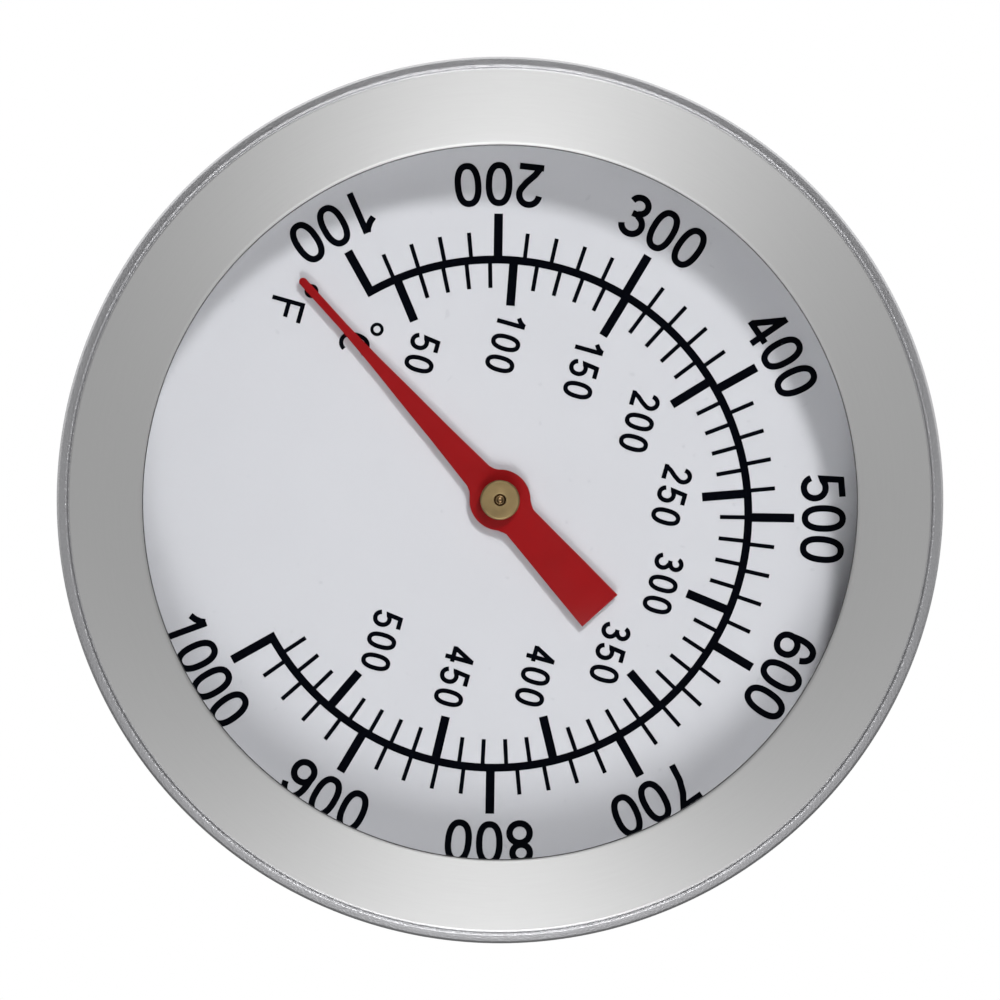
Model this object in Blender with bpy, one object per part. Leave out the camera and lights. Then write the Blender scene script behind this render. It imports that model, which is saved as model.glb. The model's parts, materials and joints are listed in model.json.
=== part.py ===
"""Oven thermometer: a bimetal dial gauge with a rear stem, held in a panel by a threaded bush and a wing nut.

Frame: the dial faces -Y, the stem runs along +Y, and +Z is upright on the dial.
The origin is on the stem's axis, in the plane of the case's rear face, which seats on the panel.
Lengths in this script are millimetres and become metres where vertices are made.
"""
import math

import bmesh
import bpy

MM = 0.001
TURN = 2.0 * math.pi

# ---------------------------------------------------------------- driving dimensions, in millimetres
GAP = 0.3  # left between pieces that rest on each other

BEZEL_RADIUS = 30.0
BEZEL_FRONT = -13.6  # the rim bead is the frontmost part
BEZEL_FACE = -13.5
BEZEL_SHEET = 0.6
WINDOW_RADIUS = 24.15
LIP_DEPTH = 1.2  # how far the inner lip turns in from the face
GROOVE_RADIUS = 29.12

LENS_THICKNESS = 1.6
LENS_RADIUS = 28.9
GASKET_THICKNESS = 0.8
CASE_SHEET = 0.5
CASE_MOUTH_RADIUS = 25.6
CASE_WELL_RADIUS = 23.0
DIAL_FACE = -6.9
DIAL_THICKNESS = 0.5
DIAL_RADIUS = 25.2
DIAL_HOLE_RADIUS = 1.6

POINTER_FACE = -7.7
POINTER_THICKNESS = 0.35
POINTER_LENGTH = 20.3
POINTER_TAIL = 10.2
POINTER_BOSS_RADIUS = 2.08
POINTER_TIP_RADIUS = 0.28
POINTER_NECK_HALF = 1.0  # half width where the blade leaves the boss
POINTER_TAIL_HALF = (1.28, 1.6)  # half widths where the tail leaves the boss and at its end
POINTER_REST_DEG = -147.7  # clockwise from upright: an oven at room temperature
HUB_RADIUS = 1.37
HUB_FACE = -8.8
HUB_CHAMFER = 0.15
HUB_SHANK_RADIUS = 0.95
SPINDLE_RADIUS = 0.42
SPINDLE_PLAY = 0.12  # between the spindle and what turns with it

THREAD_RADIUS = 4.95
THREAD_ROOT_RADIUS = 4.15
THREAD_PITCH = 1.5
THREAD_TURNS = 12
SHANK_LENGTH = 19.0
SHANK_RADIUS = 5.0
BUSH_HEAD_RADIUS = 8.0
BUSH_HEAD_THICKNESS = 1.5
BUSH_BORE_RADIUS = 2.3
SEAL_THICKNESS = 0.7

STEM_RADIUS = 3.175
STEM_WALL = 0.5
STEM_LENGTH = 63.5  # from the seat to the tip
STEM_START = 10.3
TIP_CAP = 1.5  # the part of the plug that shows
TIP_PLUG_DEPTH = 4.5

COIL_START = 22.4
COIL_END = 54.6
COIL_RADIUS = 1.7
COIL_TURNS = 13
COIL_STRIP = (0.35, 1.6)  # radial thickness and width along the stem
COIL_ARBOR_RADIUS = 1.9  # of the collar and the anchor at the coil's ends

WASHER_FRONT = 5.0  # leaves a panel gap behind the seat
WASHER_THICKNESS = 1.6
WASHER_RADIUS = 10.0
SPRING_WASHER_RADIUS = 8.8
SPRING_WASHER_THICKNESS = 1.4
SPRING_WASHER_RISE = 0.6
NUT_BORE_RADIUS = 5.2
NUT_LENGTH = 7.0
NUT_BASE_RADIUS = 7.6
NUT_TOP_RADIUS = 6.6
WING_SPAN = 38.0
WING_REACH = 13.0  # how far the wings rise behind the nut's front face
WING_THICKNESS = 2.4

CASE_STEPS = 64
BUSH_STEPS = 24
NUT_STEPS = 32
SMALL_STEPS = 16
COIL_STEPS = 12

# ---------------------------------------------------------------- places along the stem's axis
LIP_END = BEZEL_FACE + LIP_DEPTH
LENS_FRONT = LIP_END + GAP
LENS_BACK = LENS_FRONT + LENS_THICKNESS
GASKET_FRONT = LENS_BACK + GAP
FLANGE_FRONT = GASKET_FRONT + GASKET_THICKNESS + GAP
FLANGE_BACK = FLANGE_FRONT + CASE_SHEET
CRIMP_FRONT = FLANGE_BACK + GAP
CRIMP_BACK = CRIMP_FRONT + BEZEL_SHEET
DIAL_BACK = DIAL_FACE + DIAL_THICKNESS
LEDGE_FRONT = DIAL_BACK + GAP
FLOOR_FRONT = -CASE_SHEET
SEAL_FRONT = FLOOR_FRONT - GAP - SEAL_THICKNESS
HEAD_BACK = SEAL_FRONT - GAP
HEAD_FRONT = HEAD_BACK - BUSH_HEAD_THICKNESS
THREAD_START = 0.5
THREAD_END = THREAD_START + THREAD_TURNS * THREAD_PITCH
SPRING_WASHER_FRONT = WASHER_FRONT + WASHER_THICKNESS + GAP
NUT_FRONT = SPRING_WASHER_FRONT + SPRING_WASHER_THICKNESS + SPRING_WASHER_RISE + GAP
COLLAR_BACK = COIL_START - 0.5
COLLAR_FRONT = COLLAR_BACK - 1.5
TIP_CAP_FRONT = STEM_LENGTH - TIP_CAP
TIP_PLUG_FRONT = TIP_CAP_FRONT - TIP_PLUG_DEPTH


# ---------------------------------------------------------------- materials
def look(name, colour, roughness, metallic=0.0):
    """A Principled material of one colour, roughness and metallic value."""
    made = bpy.data.materials.new(name)
    made.use_nodes = True
    shader = made.node_tree.nodes["Principled BSDF"]
    shader.inputs["Base Color"].default_value = (*colour, 1.0)
    shader.inputs["Roughness"].default_value = roughness
    shader.inputs["Metallic"].default_value = metallic
    made.diffuse_color = (*colour, 1.0)
    return made


# ---------------------------------------------------------------- building blocks
def at_angle(radius, y, angle):
    """A point on the circle of this radius round the Y axis, turned right-handed about +Y from +X."""
    return (radius * math.cos(angle) * MM, y * MM, -radius * math.sin(angle) * MM)


def circle(bm, radius, y, steps):
    """A ring of vertices round the Y axis."""
    return [bm.verts.new(at_angle(radius, y, TURN * i / steps)) for i in range(steps)]


def skin(bm, first, second):
    """Quads between two rings that have the same number of vertices."""
    count = len(first)
    for i in range(count):
        j = (i + 1) % count
        bm.faces.new((first[i], first[j], second[j], second[i]))


def piece(name, bm, finish, place=(0.0, 0.0, 0.0), parent=None):
    """An object made from a closed bmesh, shaded smooth except at its corners."""
    bmesh.ops.recalc_face_normals(bm, faces=bm.faces)
    mesh = bpy.data.meshes.new(name)
    bm.to_mesh(mesh)
    bm.free()
    mesh.materials.append(finish)
    mesh.shade_smooth()
    mesh.set_sharp_from_angle(angle=math.radians(32.0))
    made = bpy.data.objects.new(name, mesh)
    made.location = [value * MM for value in place]
    made.parent = parent
    bpy.context.scene.collection.objects.link(made)
    return made


def turned(name, profile, finish, steps, parent=None):
    """A solid of revolution about the Y axis from (radius, y) points that outline its half section."""
    bm = bmesh.new()
    corners = [bm.verts.new((radius * MM, y * MM, 0.0)) for radius, y in profile]
    edges = []
    for first, second in zip(corners, corners[1:] + corners[:1]):
        if first.co.x > 0.0 or second.co.x > 0.0:
            edges.append(bm.edges.new((first, second)))
    bmesh.ops.spin(
        bm, geom=corners + edges, cent=(0.0, 0.0, 0.0), axis=(0.0, 1.0, 0.0),
        angle=TURN, steps=steps, use_merge=True,
    )
    bmesh.ops.remove_doubles(bm, verts=bm.verts, dist=0.00001)
    return piece(name, bm, finish, parent=parent)


def ring(name, inner, outer, front, back, finish, steps, parent=None):
    """A plain turned ring."""
    profile = [(inner, front), (outer, front), (outer, back), (inner, back)]
    return turned(name, profile, finish, steps, parent)


def plate(name, outline, front, back, finish, parent=None):
    """A flat plate across the Y axis from (x, z) points, given round its edge."""
    bm = bmesh.new()
    near = [bm.verts.new((x * MM, front * MM, z * MM)) for x, z in outline]
    face = bm.faces.new(near)
    grown = bmesh.ops.extrude_face_region(bm, geom=[face])
    far = [item for item in grown["geom"] if isinstance(item, bmesh.types.BMVert)]
    bmesh.ops.translate(bm, verts=far, vec=(0.0, (back - front) * MM, 0.0))
    return piece(name, bm, finish, parent=parent)


def arc(centre, radius, start_deg, end_deg, steps):
    """Points on an arc in the (x, z) plane, with 0 degrees at +X and 90 degrees at +Z."""
    points = []
    for i in range(steps + 1):
        angle = math.radians(start_deg + (end_deg - start_deg) * i / steps)
        points.append((centre[0] + radius * math.cos(angle), centre[1] + radius * math.sin(angle)))
    return points


def hidden(helper):
    """Keep an object that only shapes another one out of sight."""
    helper.hide_render = True
    helper.display_type = "WIRE"
    return helper


def axis_empty(name, turn_deg=0.0):
    """An empty on the gauge's axis, for pieces that move together."""
    made = bpy.data.objects.new(name, None)
    made.rotation_euler = (0.0, math.radians(turn_deg), 0.0)
    made.empty_display_size = 0.01
    bpy.context.scene.collection.objects.link(made)
    return made


# ---------------------------------------------------------------- head: bezel, lens, dial and case
def bezel_ring(finish):
    """Pressed ring: inner lip, flat face, groove, rolled bead, skirt, and a crimp behind the flange."""
    inside = BEZEL_RADIUS - BEZEL_SHEET
    under_face = BEZEL_FACE + BEZEL_SHEET
    profile = [
        (WINDOW_RADIUS, LIP_END),
        (WINDOW_RADIUS, BEZEL_FACE + 0.35),
        (WINDOW_RADIUS + 0.12, BEZEL_FACE + 0.1),
        (WINDOW_RADIUS + 0.38, BEZEL_FACE),
        (GROOVE_RADIUS - 0.18, BEZEL_FACE),
        (GROOVE_RADIUS, BEZEL_FACE + 0.2),
        (GROOVE_RADIUS + 0.2, BEZEL_FRONT + 0.08),
        (GROOVE_RADIUS + 0.44, BEZEL_FRONT),
        (BEZEL_RADIUS - 0.16, BEZEL_FRONT + 0.12),
        (BEZEL_RADIUS, BEZEL_FRONT + 0.45),
        (BEZEL_RADIUS, CRIMP_BACK - 0.45),
        (BEZEL_RADIUS - 0.4, CRIMP_BACK),
        (BEZEL_RADIUS - 2.6, CRIMP_BACK),
        (BEZEL_RADIUS - 2.6, CRIMP_FRONT),
        (inside, CRIMP_FRONT),
        (inside, under_face),
        (WINDOW_RADIUS + BEZEL_SHEET, under_face),
        (WINDOW_RADIUS + BEZEL_SHEET, LIP_END),
    ]
    return turned("bezel_ring", profile, finish, CASE_STEPS)


def lens(finish):
    """Flat glass disc behind the bezel's lip."""
    profile = [(0.0, LENS_FRONT), (LENS_RADIUS, LENS_FRONT), (LENS_RADIUS, LENS_BACK), (0.0, LENS_BACK)]
    return turned("lens", profile, finish, CASE_STEPS)


def case_back(finish):
    """Drawn cup: flange, mouth, ledge under the dial, well, and a flat floor with a hole for the bush."""
    flange = LENS_RADIUS
    mouth, well, sheet = CASE_MOUTH_RADIUS, CASE_WELL_RADIUS, CASE_SHEET
    hole = SHANK_RADIUS + GAP
    profile = [
        (flange, FLANGE_FRONT),
        (flange, FLANGE_BACK),
        (mouth + sheet, FLANGE_BACK),
        (mouth + sheet, LEDGE_FRONT + 0.2),
        (mouth + 0.2, LEDGE_FRONT + sheet),
        (well + sheet, LEDGE_FRONT + sheet + 0.1),
        (well + sheet, -1.2),
        (well + 0.15, -0.35),
        (well - 0.7, 0.0),
        (hole, 0.0),
        (hole, FLOOR_FRONT),
        (well - 0.8, FLOOR_FRONT),
        (well, -1.3),
        (well, LEDGE_FRONT),
        (mouth, LEDGE_FRONT),
        (mouth, FLANGE_FRONT),
    ]
    return turned("case_back", profile, finish, CASE_STEPS)


# ---------------------------------------------------------------- pointer and spindle
def boss_blend(half, side):
    """Hollow corner where an arm of this half width leaves the boss on its right, from the boss outwards."""
    fillet = 0.6
    reach = math.sqrt((POINTER_BOSS_RADIUS + fillet) ** 2 - (half + fillet) ** 2)
    meet_deg = math.degrees(math.atan2(reach, half + fillet))
    if side > 0:
        return arc((half + fillet, reach), fillet, 180.0 + meet_deg, 180.0, 4)
    return arc((half + fillet, -reach), fillet, 180.0, 180.0 - meet_deg, 4)


def pointer_outline():
    """Outline of the pointer about its hub, tip towards +Z: tapered blade, round boss, flared tail."""
    tail_half, tail_end_half = POINTER_TAIL_HALF
    tip_centre = (0.0, POINTER_LENGTH - POINTER_TIP_RADIUS)
    neck = boss_blend(POINTER_NECK_HALF, 1)
    waist = boss_blend(tail_half, -1)
    start_deg = math.degrees(math.atan2(waist[-1][1], waist[-1][0]))
    end_deg = math.degrees(math.atan2(neck[0][1], neck[0][0]))
    right = [(tail_end_half, -POINTER_TAIL)] + waist
    right += arc((0.0, 0.0), POINTER_BOSS_RADIUS, start_deg, end_deg, 6)[1:-1]
    right += neck + [(0.6, 9.4), (POINTER_TIP_RADIUS, 15.9)]
    left = [(-x, z) for x, z in reversed(right)]
    return right + arc(tip_centre, POINTER_TIP_RADIUS, 0.0, 180.0, 6) + left


def pointer(finish, axis):
    """Flat pointer with a round hole for the hub's shank."""
    back = POINTER_FACE + POINTER_THICKNESS
    blade = plate("pointer", pointer_outline(), POINTER_FACE, back, finish, axis)
    cutter = ring("pointer_hole_cutter", 0.0, HUB_SHANK_RADIUS + GAP / 2.0, POINTER_FACE - 1.0,
                  POINTER_FACE + 1.0, finish, SMALL_STEPS, axis)
    cut = blade.modifiers.new("hub_hole", "BOOLEAN")
    cut.operation = "DIFFERENCE"
    cut.object = hidden(cutter)


def pointer_hub(finish, axis):
    """Brass cap in front of the pointer, with a shank through it."""
    bore = SPINDLE_RADIUS + SPINDLE_PLAY
    cap_back = POINTER_FACE - 0.15
    shank_back = DIAL_FACE - 0.35
    profile = [
        (bore, HUB_FACE),
        (HUB_RADIUS - HUB_CHAMFER, HUB_FACE),
        (HUB_RADIUS, HUB_FACE + HUB_CHAMFER),
        (HUB_RADIUS, cap_back),
        (HUB_SHANK_RADIUS, cap_back),
        (HUB_SHANK_RADIUS, shank_back),
        (bore, shank_back),
    ]
    turned("pointer_hub", profile, finish, SMALL_STEPS, axis)


def spindle(finish, axis):
    """The shaft from the hub to the coil, and the collar on its end."""
    bore = SPINDLE_RADIUS + SPINDLE_PLAY
    front = HUB_FACE + 0.1
    back = COLLAR_BACK - GAP
    profile = [(0.0, front), (SPINDLE_RADIUS, front), (SPINDLE_RADIUS, back), (0.0, back)]
    turned("spindle", profile, finish, SMALL_STEPS, axis)
    ring("coil_collar", bore, COIL_ARBOR_RADIUS, COLLAR_FRONT, COLLAR_BACK, finish, SMALL_STEPS, axis)


# ---------------------------------------------------------------- stem
def thread_skin(bm, start, steps):
    """Skin a right-hand thread on from the ring where it starts, and return the ring where it ends."""
    last = THREAD_TURNS * steps
    root = []
    crest = []
    for step in range(last + 1):
        angle = TURN * step / steps
        y = THREAD_START + THREAD_PITCH * step / steps
        root.append(bm.verts.new(at_angle(THREAD_ROOT_RADIUS, y, angle)))
        if step <= last - steps:
            crest.append(bm.verts.new(at_angle(THREAD_RADIUS, y + THREAD_PITCH / 2.0, angle)))
    for step in range(last - steps):
        bm.faces.new((root[step], root[step + 1], crest[step + 1], crest[step]))
        bm.faces.new((crest[step], crest[step + 1], root[step + 1 + steps], root[step + steps]))
    # the thread begins and ends in a small upright face, and the shank fills in round it
    bm.faces.new((root[0], crest[0], root[steps]))
    for i in range(steps - 1):
        bm.faces.new((start[i], start[i + 1], root[i + 1], root[i]))
    bm.faces.new((start[steps - 1], start[0], root[0]))
    bm.faces.new((start[steps - 1], root[0], root[steps - 1]))
    bm.faces.new((root[0], root[steps], root[steps - 1]))
    end = circle(bm, THREAD_ROOT_RADIUS, THREAD_END + 0.25, steps)
    base = last - steps
    bm.faces.new((crest[base], root[base], root[last]))
    bm.faces.new((root[base], root[base + 1], root[last]))
    bm.faces.new((root[base + 1], end[1], root[last]))
    bm.faces.new((end[1], end[0], root[last]))
    for i in range(1, steps - 1):
        bm.faces.new((root[base + i], root[base + i + 1], end[i + 1], end[i]))
    bm.faces.new((root[last - 1], root[last], end[0], end[steps - 1]))
    return end


def stem_bush(finish):
    """Turned bush: a head inside the case, a shank through its floor, a thread, and a socket for the stem."""
    socket = STEM_RADIUS + 0.15
    bm = bmesh.new()
    before = [
        (BUSH_BORE_RADIUS, HEAD_FRONT),
        (BUSH_HEAD_RADIUS, HEAD_FRONT),
        (BUSH_HEAD_RADIUS, HEAD_BACK),
        (SHANK_RADIUS, HEAD_BACK),
        (SHANK_RADIUS, 0.1),
        (THREAD_ROOT_RADIUS, 0.3),
    ]
    after = [
        (THREAD_ROOT_RADIUS - 0.2, SHANK_LENGTH),
        (socket, SHANK_LENGTH),
        (socket, STEM_START - GAP),
        (BUSH_BORE_RADIUS, STEM_START - GAP),
    ]
    rings = [circle(bm, radius, y, BUSH_STEPS) for radius, y in before]
    first = rings[0]
    for near, far in zip(rings, rings[1:]):
        skin(bm, near, far)
    rings = [thread_skin(bm, rings[-1], BUSH_STEPS)]
    rings += [circle(bm, radius, y, BUSH_STEPS) for radius, y in after]
    for near, far in zip(rings, rings[1:]):
        skin(bm, near, far)
    skin(bm, rings[-1], first)
    return piece("stem_bush", bm, finish)


def guide_bushes(finish):
    """The two brass bearings that centre the spindle."""
    bore = SPINDLE_RADIUS + 0.15
    sleeve = BUSH_BORE_RADIUS - 0.2
    flange = 3.2
    flange_back = HEAD_FRONT - 0.2
    flange_front = flange_back - 0.7
    sleeve_back = 1.0
    profile = [
        (bore, flange_front),
        (flange, flange_front),
        (flange, flange_back),
        (sleeve, flange_back),
        (sleeve, sleeve_back),
        (bore, sleeve_back),
    ]
    turned("upper_guide_bush", profile, finish, SMALL_STEPS)
    lower_back = COLLAR_FRONT - 0.6
    ring("lower_guide_bush", bore, STEM_RADIUS - STEM_WALL - 0.2, lower_back - 2.0, lower_back,
         finish, SMALL_STEPS)


def tip_plug(finish):
    """Plug in the stem's end, with a rounded cap as wide as the stem."""
    inside = STEM_RADIUS - STEM_WALL - 0.2
    profile = [
        (0.0, TIP_PLUG_FRONT),
        (inside, TIP_PLUG_FRONT),
        (inside, TIP_CAP_FRONT),
        (STEM_RADIUS, TIP_CAP_FRONT),
        (STEM_RADIUS, STEM_LENGTH - 0.9),
        (STEM_RADIUS - 0.35, STEM_LENGTH - 0.25),
        (STEM_RADIUS - 1.0, STEM_LENGTH),
        (0.0, STEM_LENGTH),
    ]
    turned("tip_plug", profile, finish, NUT_STEPS)


def coil_anchor(finish):
    """Pin on the plug that holds the coil's far end."""
    pin_radius = 0.6
    pin_length = 3.0
    profile = [
        (0.0, COIL_END - pin_length),
        (pin_radius, COIL_END - pin_length),
        (pin_radius, COIL_END + GAP),
        (COIL_ARBOR_RADIUS, COIL_END + GAP),
        (COIL_ARBOR_RADIUS, TIP_PLUG_FRONT - GAP),
        (0.0, TIP_PLUG_FRONT - GAP),
    ]
    turned("coil_anchor", profile, finish, SMALL_STEPS)


def bimetal_coil(finish):
    """Strip wound into a helix on the stem's axis."""
    thick, wide = COIL_STRIP
    low = COIL_START + wide / 2.0
    rise = COIL_END - wide / 2.0 - low
    count = COIL_TURNS * COIL_STEPS
    bm = bmesh.new()
    sections = []
    for step in range(count + 1):
        angle = TURN * step / COIL_STEPS
        y = low + rise * step / count
        corners = ((-thick, -wide), (thick, -wide), (thick, wide), (-thick, wide))
        sections.append(
            [bm.verts.new(at_angle(COIL_RADIUS + dr / 2.0, y + dy / 2.0, angle)) for dr, dy in corners]
        )
    for near, far in zip(sections, sections[1:]):
        skin(bm, near, far)
    bm.faces.new(sections[0])
    bm.faces.new(sections[-1])
    return piece("bimetal_coil", bm, finish)


# ---------------------------------------------------------------- panel fastening
def spring_washer(finish, parent):
    """Split washer whose two ends stand a little apart along the axis."""
    split_deg = 16.0
    inner = NUT_BORE_RADIUS
    steps = 28
    bm = bmesh.new()
    sections = []
    for step in range(steps + 1):
        share = step / steps
        angle = math.radians(split_deg / 2.0 + (360.0 - split_deg) * share)
        front = SPRING_WASHER_FRONT + SPRING_WASHER_RISE * share
        back = front + SPRING_WASHER_THICKNESS
        corners = (
            (inner, front), (SPRING_WASHER_RADIUS, front), (SPRING_WASHER_RADIUS, back), (inner, back)
        )
        sections.append([bm.verts.new(at_angle(radius, y, angle)) for radius, y in corners])
    for near, far in zip(sections, sections[1:]):
        skin(bm, near, far)
    bm.faces.new(sections[0])
    bm.faces.new(sections[-1])
    return piece("spring_washer", bm, finish, parent=parent)


def wing_outline():
    """Outline of one wing in (distance from the axis, distance behind the nut's front face)."""
    lobe_radius = 5.2
    lobe_centre = (WING_SPAN / 2.0 - lobe_radius, WING_REACH - lobe_radius)
    outline = [(5.6, 0.8), (8.4, 1.2)]
    outline += arc(lobe_centre, lobe_radius, -50.0, 150.0, 10)
    outline += [(8.2, 6.4), (5.6, 6.2)]
    return outline


def wing_nut(finish, parent):
    """Cone-sided nut body with two wings joined on and a bore through it."""
    body = turned(
        "wing_nut",
        [
            (0.0, NUT_FRONT),
            (NUT_BASE_RADIUS, NUT_FRONT),
            (NUT_BASE_RADIUS, NUT_FRONT + 1.4),
            (NUT_TOP_RADIUS, NUT_FRONT + NUT_LENGTH - 0.5),
            (NUT_TOP_RADIUS - 0.5, NUT_FRONT + NUT_LENGTH),
            (0.0, NUT_FRONT + NUT_LENGTH),
        ],
        finish, NUT_STEPS, parent,
    )
    for side, sign in (("left", -1.0), ("right", 1.0)):
        bm = bmesh.new()
        near = []
        for reach, rise in wing_outline():
            place = (sign * reach * MM, (NUT_FRONT + rise) * MM, -WING_THICKNESS / 2.0 * MM)
            near.append(bm.verts.new(place))
        face = bm.faces.new(near)
        grown = bmesh.ops.extrude_face_region(bm, geom=[face])
        far = [item for item in grown["geom"] if isinstance(item, bmesh.types.BMVert)]
        bmesh.ops.translate(bm, verts=far, vec=(0.0, 0.0, WING_THICKNESS * MM))
        wing = piece(f"wing_{side}_guide", bm, finish, parent=parent)
        join = body.modifiers.new(f"join_{side}", "BOOLEAN")
        join.operation = "UNION"
        join.object = hidden(wing)
    cutter = ring("nut_bore_cutter", 0.0, NUT_BORE_RADIUS, NUT_FRONT - 2.0, NUT_FRONT + NUT_LENGTH + 2.0,
                  finish, NUT_STEPS, parent)
    cut = body.modifiers.new("bore", "BOOLEAN")
    cut.operation = "DIFFERENCE"
    cut.object = hidden(cutter)
    return body


# ---------------------------------------------------------------- assembly
def build():
    """Clear the scene and make every piece."""
    for old in list(bpy.data.objects):
        bpy.data.objects.remove(old, do_unlink=True)
    finishes = {
        "bezel": look("bezel_steel", (0.62, 0.62, 0.61), 0.30, 1.0),
        "steel": look("stainless_steel", (0.58, 0.58, 0.57), 0.28, 1.0),
        "glass": look("lens_glass", (0.92, 0.95, 0.95), 0.03),
        "rubber": look("silicone_seal", (0.10, 0.10, 0.10), 0.75),
        "dial": look("dial_satin", (0.66, 0.66, 0.69), 0.45, 0.2),
        "red": look("pointer_red", (0.29, 0.012, 0.016), 0.45),
        "brass": look("brass", (0.42, 0.32, 0.13), 0.35, 1.0),
        "bimetal": look("bimetal_strip", (0.50, 0.46, 0.40), 0.35, 1.0),
        "zinc": look("zinc_plate", (0.60, 0.61, 0.62), 0.40, 1.0),
    }
    bezel_ring(finishes["bezel"])
    lens(finishes["glass"])
    ring("lens_gasket", CASE_MOUTH_RADIUS + 0.2, LENS_RADIUS, GASKET_FRONT, GASKET_FRONT + GASKET_THICKNESS,
         finishes["rubber"], CASE_STEPS)
    ring("spacer_ring", DIAL_RADIUS - 0.4, DIAL_RADIUS, GASKET_FRONT, DIAL_FACE - GAP,
         finishes["steel"], CASE_STEPS)
    ring("dial_plate", DIAL_HOLE_RADIUS, DIAL_RADIUS, DIAL_FACE, DIAL_BACK, finishes["dial"], CASE_STEPS)
    case_back(finishes["steel"])
    pointer_axis = axis_empty("pointer_axis", POINTER_REST_DEG)
    pointer(finishes["red"], pointer_axis)
    pointer_hub(finishes["brass"], pointer_axis)
    spindle(finishes["steel"], pointer_axis)
    ring("bush_seal", SHANK_RADIUS + 0.3, BUSH_HEAD_RADIUS, SEAL_FRONT, FLOOR_FRONT - GAP,
         finishes["rubber"], BUSH_STEPS)
    stem_bush(finishes["steel"])
    guide_bushes(finishes["brass"])
    ring("stem_tube", STEM_RADIUS - STEM_WALL, STEM_RADIUS, STEM_START, TIP_CAP_FRONT - GAP,
         finishes["steel"], NUT_STEPS)
    tip_plug(finishes["steel"])
    coil_anchor(finishes["steel"])
    bimetal_coil(finishes["bimetal"])
    travel = axis_empty("nut_travel_axis")
    spin = axis_empty("nut_spin_axis")
    spin.parent = travel
    ring("flat_washer", NUT_BORE_RADIUS, WASHER_RADIUS, WASHER_FRONT, WASHER_FRONT + WASHER_THICKNESS,
         finishes["zinc"], NUT_STEPS, travel)
    spring_washer(finishes["zinc"], travel)
    wing_nut(finishes["zinc"], spin)


build()
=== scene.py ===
"""Looks of the oven thermometer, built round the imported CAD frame.

The dial faces -Y, the stem runs along +Y and +Z is upright on the dial. Metres throughout; MM turns
the millimetres that the lengths below are named in into metres.
"""
import json
import math

import bmesh
import bpy
from mathutils import Matrix, Vector
from mathutils.geometry import delaunay_2d_cdt

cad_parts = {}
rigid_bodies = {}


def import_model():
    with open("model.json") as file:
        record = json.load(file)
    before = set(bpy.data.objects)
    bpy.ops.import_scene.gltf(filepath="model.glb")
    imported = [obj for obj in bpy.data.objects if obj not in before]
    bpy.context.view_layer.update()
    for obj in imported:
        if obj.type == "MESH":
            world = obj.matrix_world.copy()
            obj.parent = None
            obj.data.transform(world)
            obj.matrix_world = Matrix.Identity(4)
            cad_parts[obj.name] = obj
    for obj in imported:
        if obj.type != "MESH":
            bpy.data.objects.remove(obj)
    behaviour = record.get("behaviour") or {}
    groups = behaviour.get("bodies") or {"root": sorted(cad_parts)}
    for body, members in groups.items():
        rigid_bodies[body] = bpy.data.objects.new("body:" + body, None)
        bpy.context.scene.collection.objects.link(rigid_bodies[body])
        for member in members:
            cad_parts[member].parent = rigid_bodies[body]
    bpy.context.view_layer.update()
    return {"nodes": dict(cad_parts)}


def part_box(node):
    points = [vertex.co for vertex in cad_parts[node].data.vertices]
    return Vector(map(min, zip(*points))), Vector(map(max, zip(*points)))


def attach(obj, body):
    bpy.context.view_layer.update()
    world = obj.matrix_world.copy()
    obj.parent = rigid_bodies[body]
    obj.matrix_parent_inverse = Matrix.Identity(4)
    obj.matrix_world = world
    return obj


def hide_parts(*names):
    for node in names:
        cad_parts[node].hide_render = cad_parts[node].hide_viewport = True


MM = 0.001
TURN = 2.0 * math.pi

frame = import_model()

# ---------------------------------------------------------------- places read from the frame, in millimetres


def span(node):
    """(front y, back y, greatest radius) of a CAD node that is turned about the Y axis."""
    low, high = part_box(node)
    return low.y / MM, high.y / MM, high.x / MM


BEZEL_FRONT, BEZEL_BACK, BEZEL_RADIUS = span("bezel_ring")
LENS_FRONT, LENS_BACK, LENS_RADIUS = span("lens")
DIAL_FRONT, DIAL_BACK, DIAL_RADIUS = span("dial_plate")
CASE_FRONT, CASE_BACK, CASE_RADIUS = span("case_back")
POINTER_FRONT, POINTER_BACK, _ = span("pointer")
HUB_FRONT, HUB_BACK, HUB_RADIUS = span("pointer_hub")
BUSH_FRONT, BUSH_BACK, BUSH_HEAD_RADIUS = span("stem_bush")
STEM_START, STEM_STOP, STEM_RADIUS = span("stem_tube")
TIP_START, TIP_END, _ = span("tip_plug")
WASHER_FRONT, WASHER_BACK, WASHER_RADIUS = span("flat_washer")
SPRING_FRONT, SPRING_BACK, SPRING_RADIUS = span("spring_washer")
NUT_FRONT, NUT_BACK, NUT_REACH = span("wing_nut")

BEZEL_FACE = BEZEL_FRONT + 0.1
FACE_EDGE = 29.08  # radius where the bezel's flat face ends, at the groove inside its bead
WINDOW_RADIUS = 24.15
SHEET = 0.6
POINTER_REST_DEG = -147.7
POINTER_REACH = 20.27
POINTER_TAIL = 10.15
POINTER_BOSS = 2.08
POINTER_TIP = 0.275
POINTER_TURN = Matrix.Rotation(math.radians(POINTER_REST_DEG), 3, "Y")
THREAD_PITCH = 1.5
NUT_BORE = 5.2

# ---------------------------------------------------------------- the view, in metres
DIAL_ROLL_DEG = 105.65  # the dial looks turned clockwise by this much
CAMERA_DISTANCE = 1.0  # in front of the bezel
VIEW_WIDTH = 0.0676  # seen across the bezel's plane
SENSOR = 36.0  # in millimetres


def in_view(right, up, front):
    """A place given as right and up in the camera's picture and in front of the bezel, in metres."""
    roll = math.radians(DIAL_ROLL_DEG)
    picture_right = Vector((math.cos(roll), 0.0, math.sin(roll)))
    picture_up = Vector((-math.sin(roll), 0.0, math.cos(roll)))
    return picture_right * right + picture_up * up + Vector((0.0, BEZEL_FACE * MM - front, 0.0))


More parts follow.
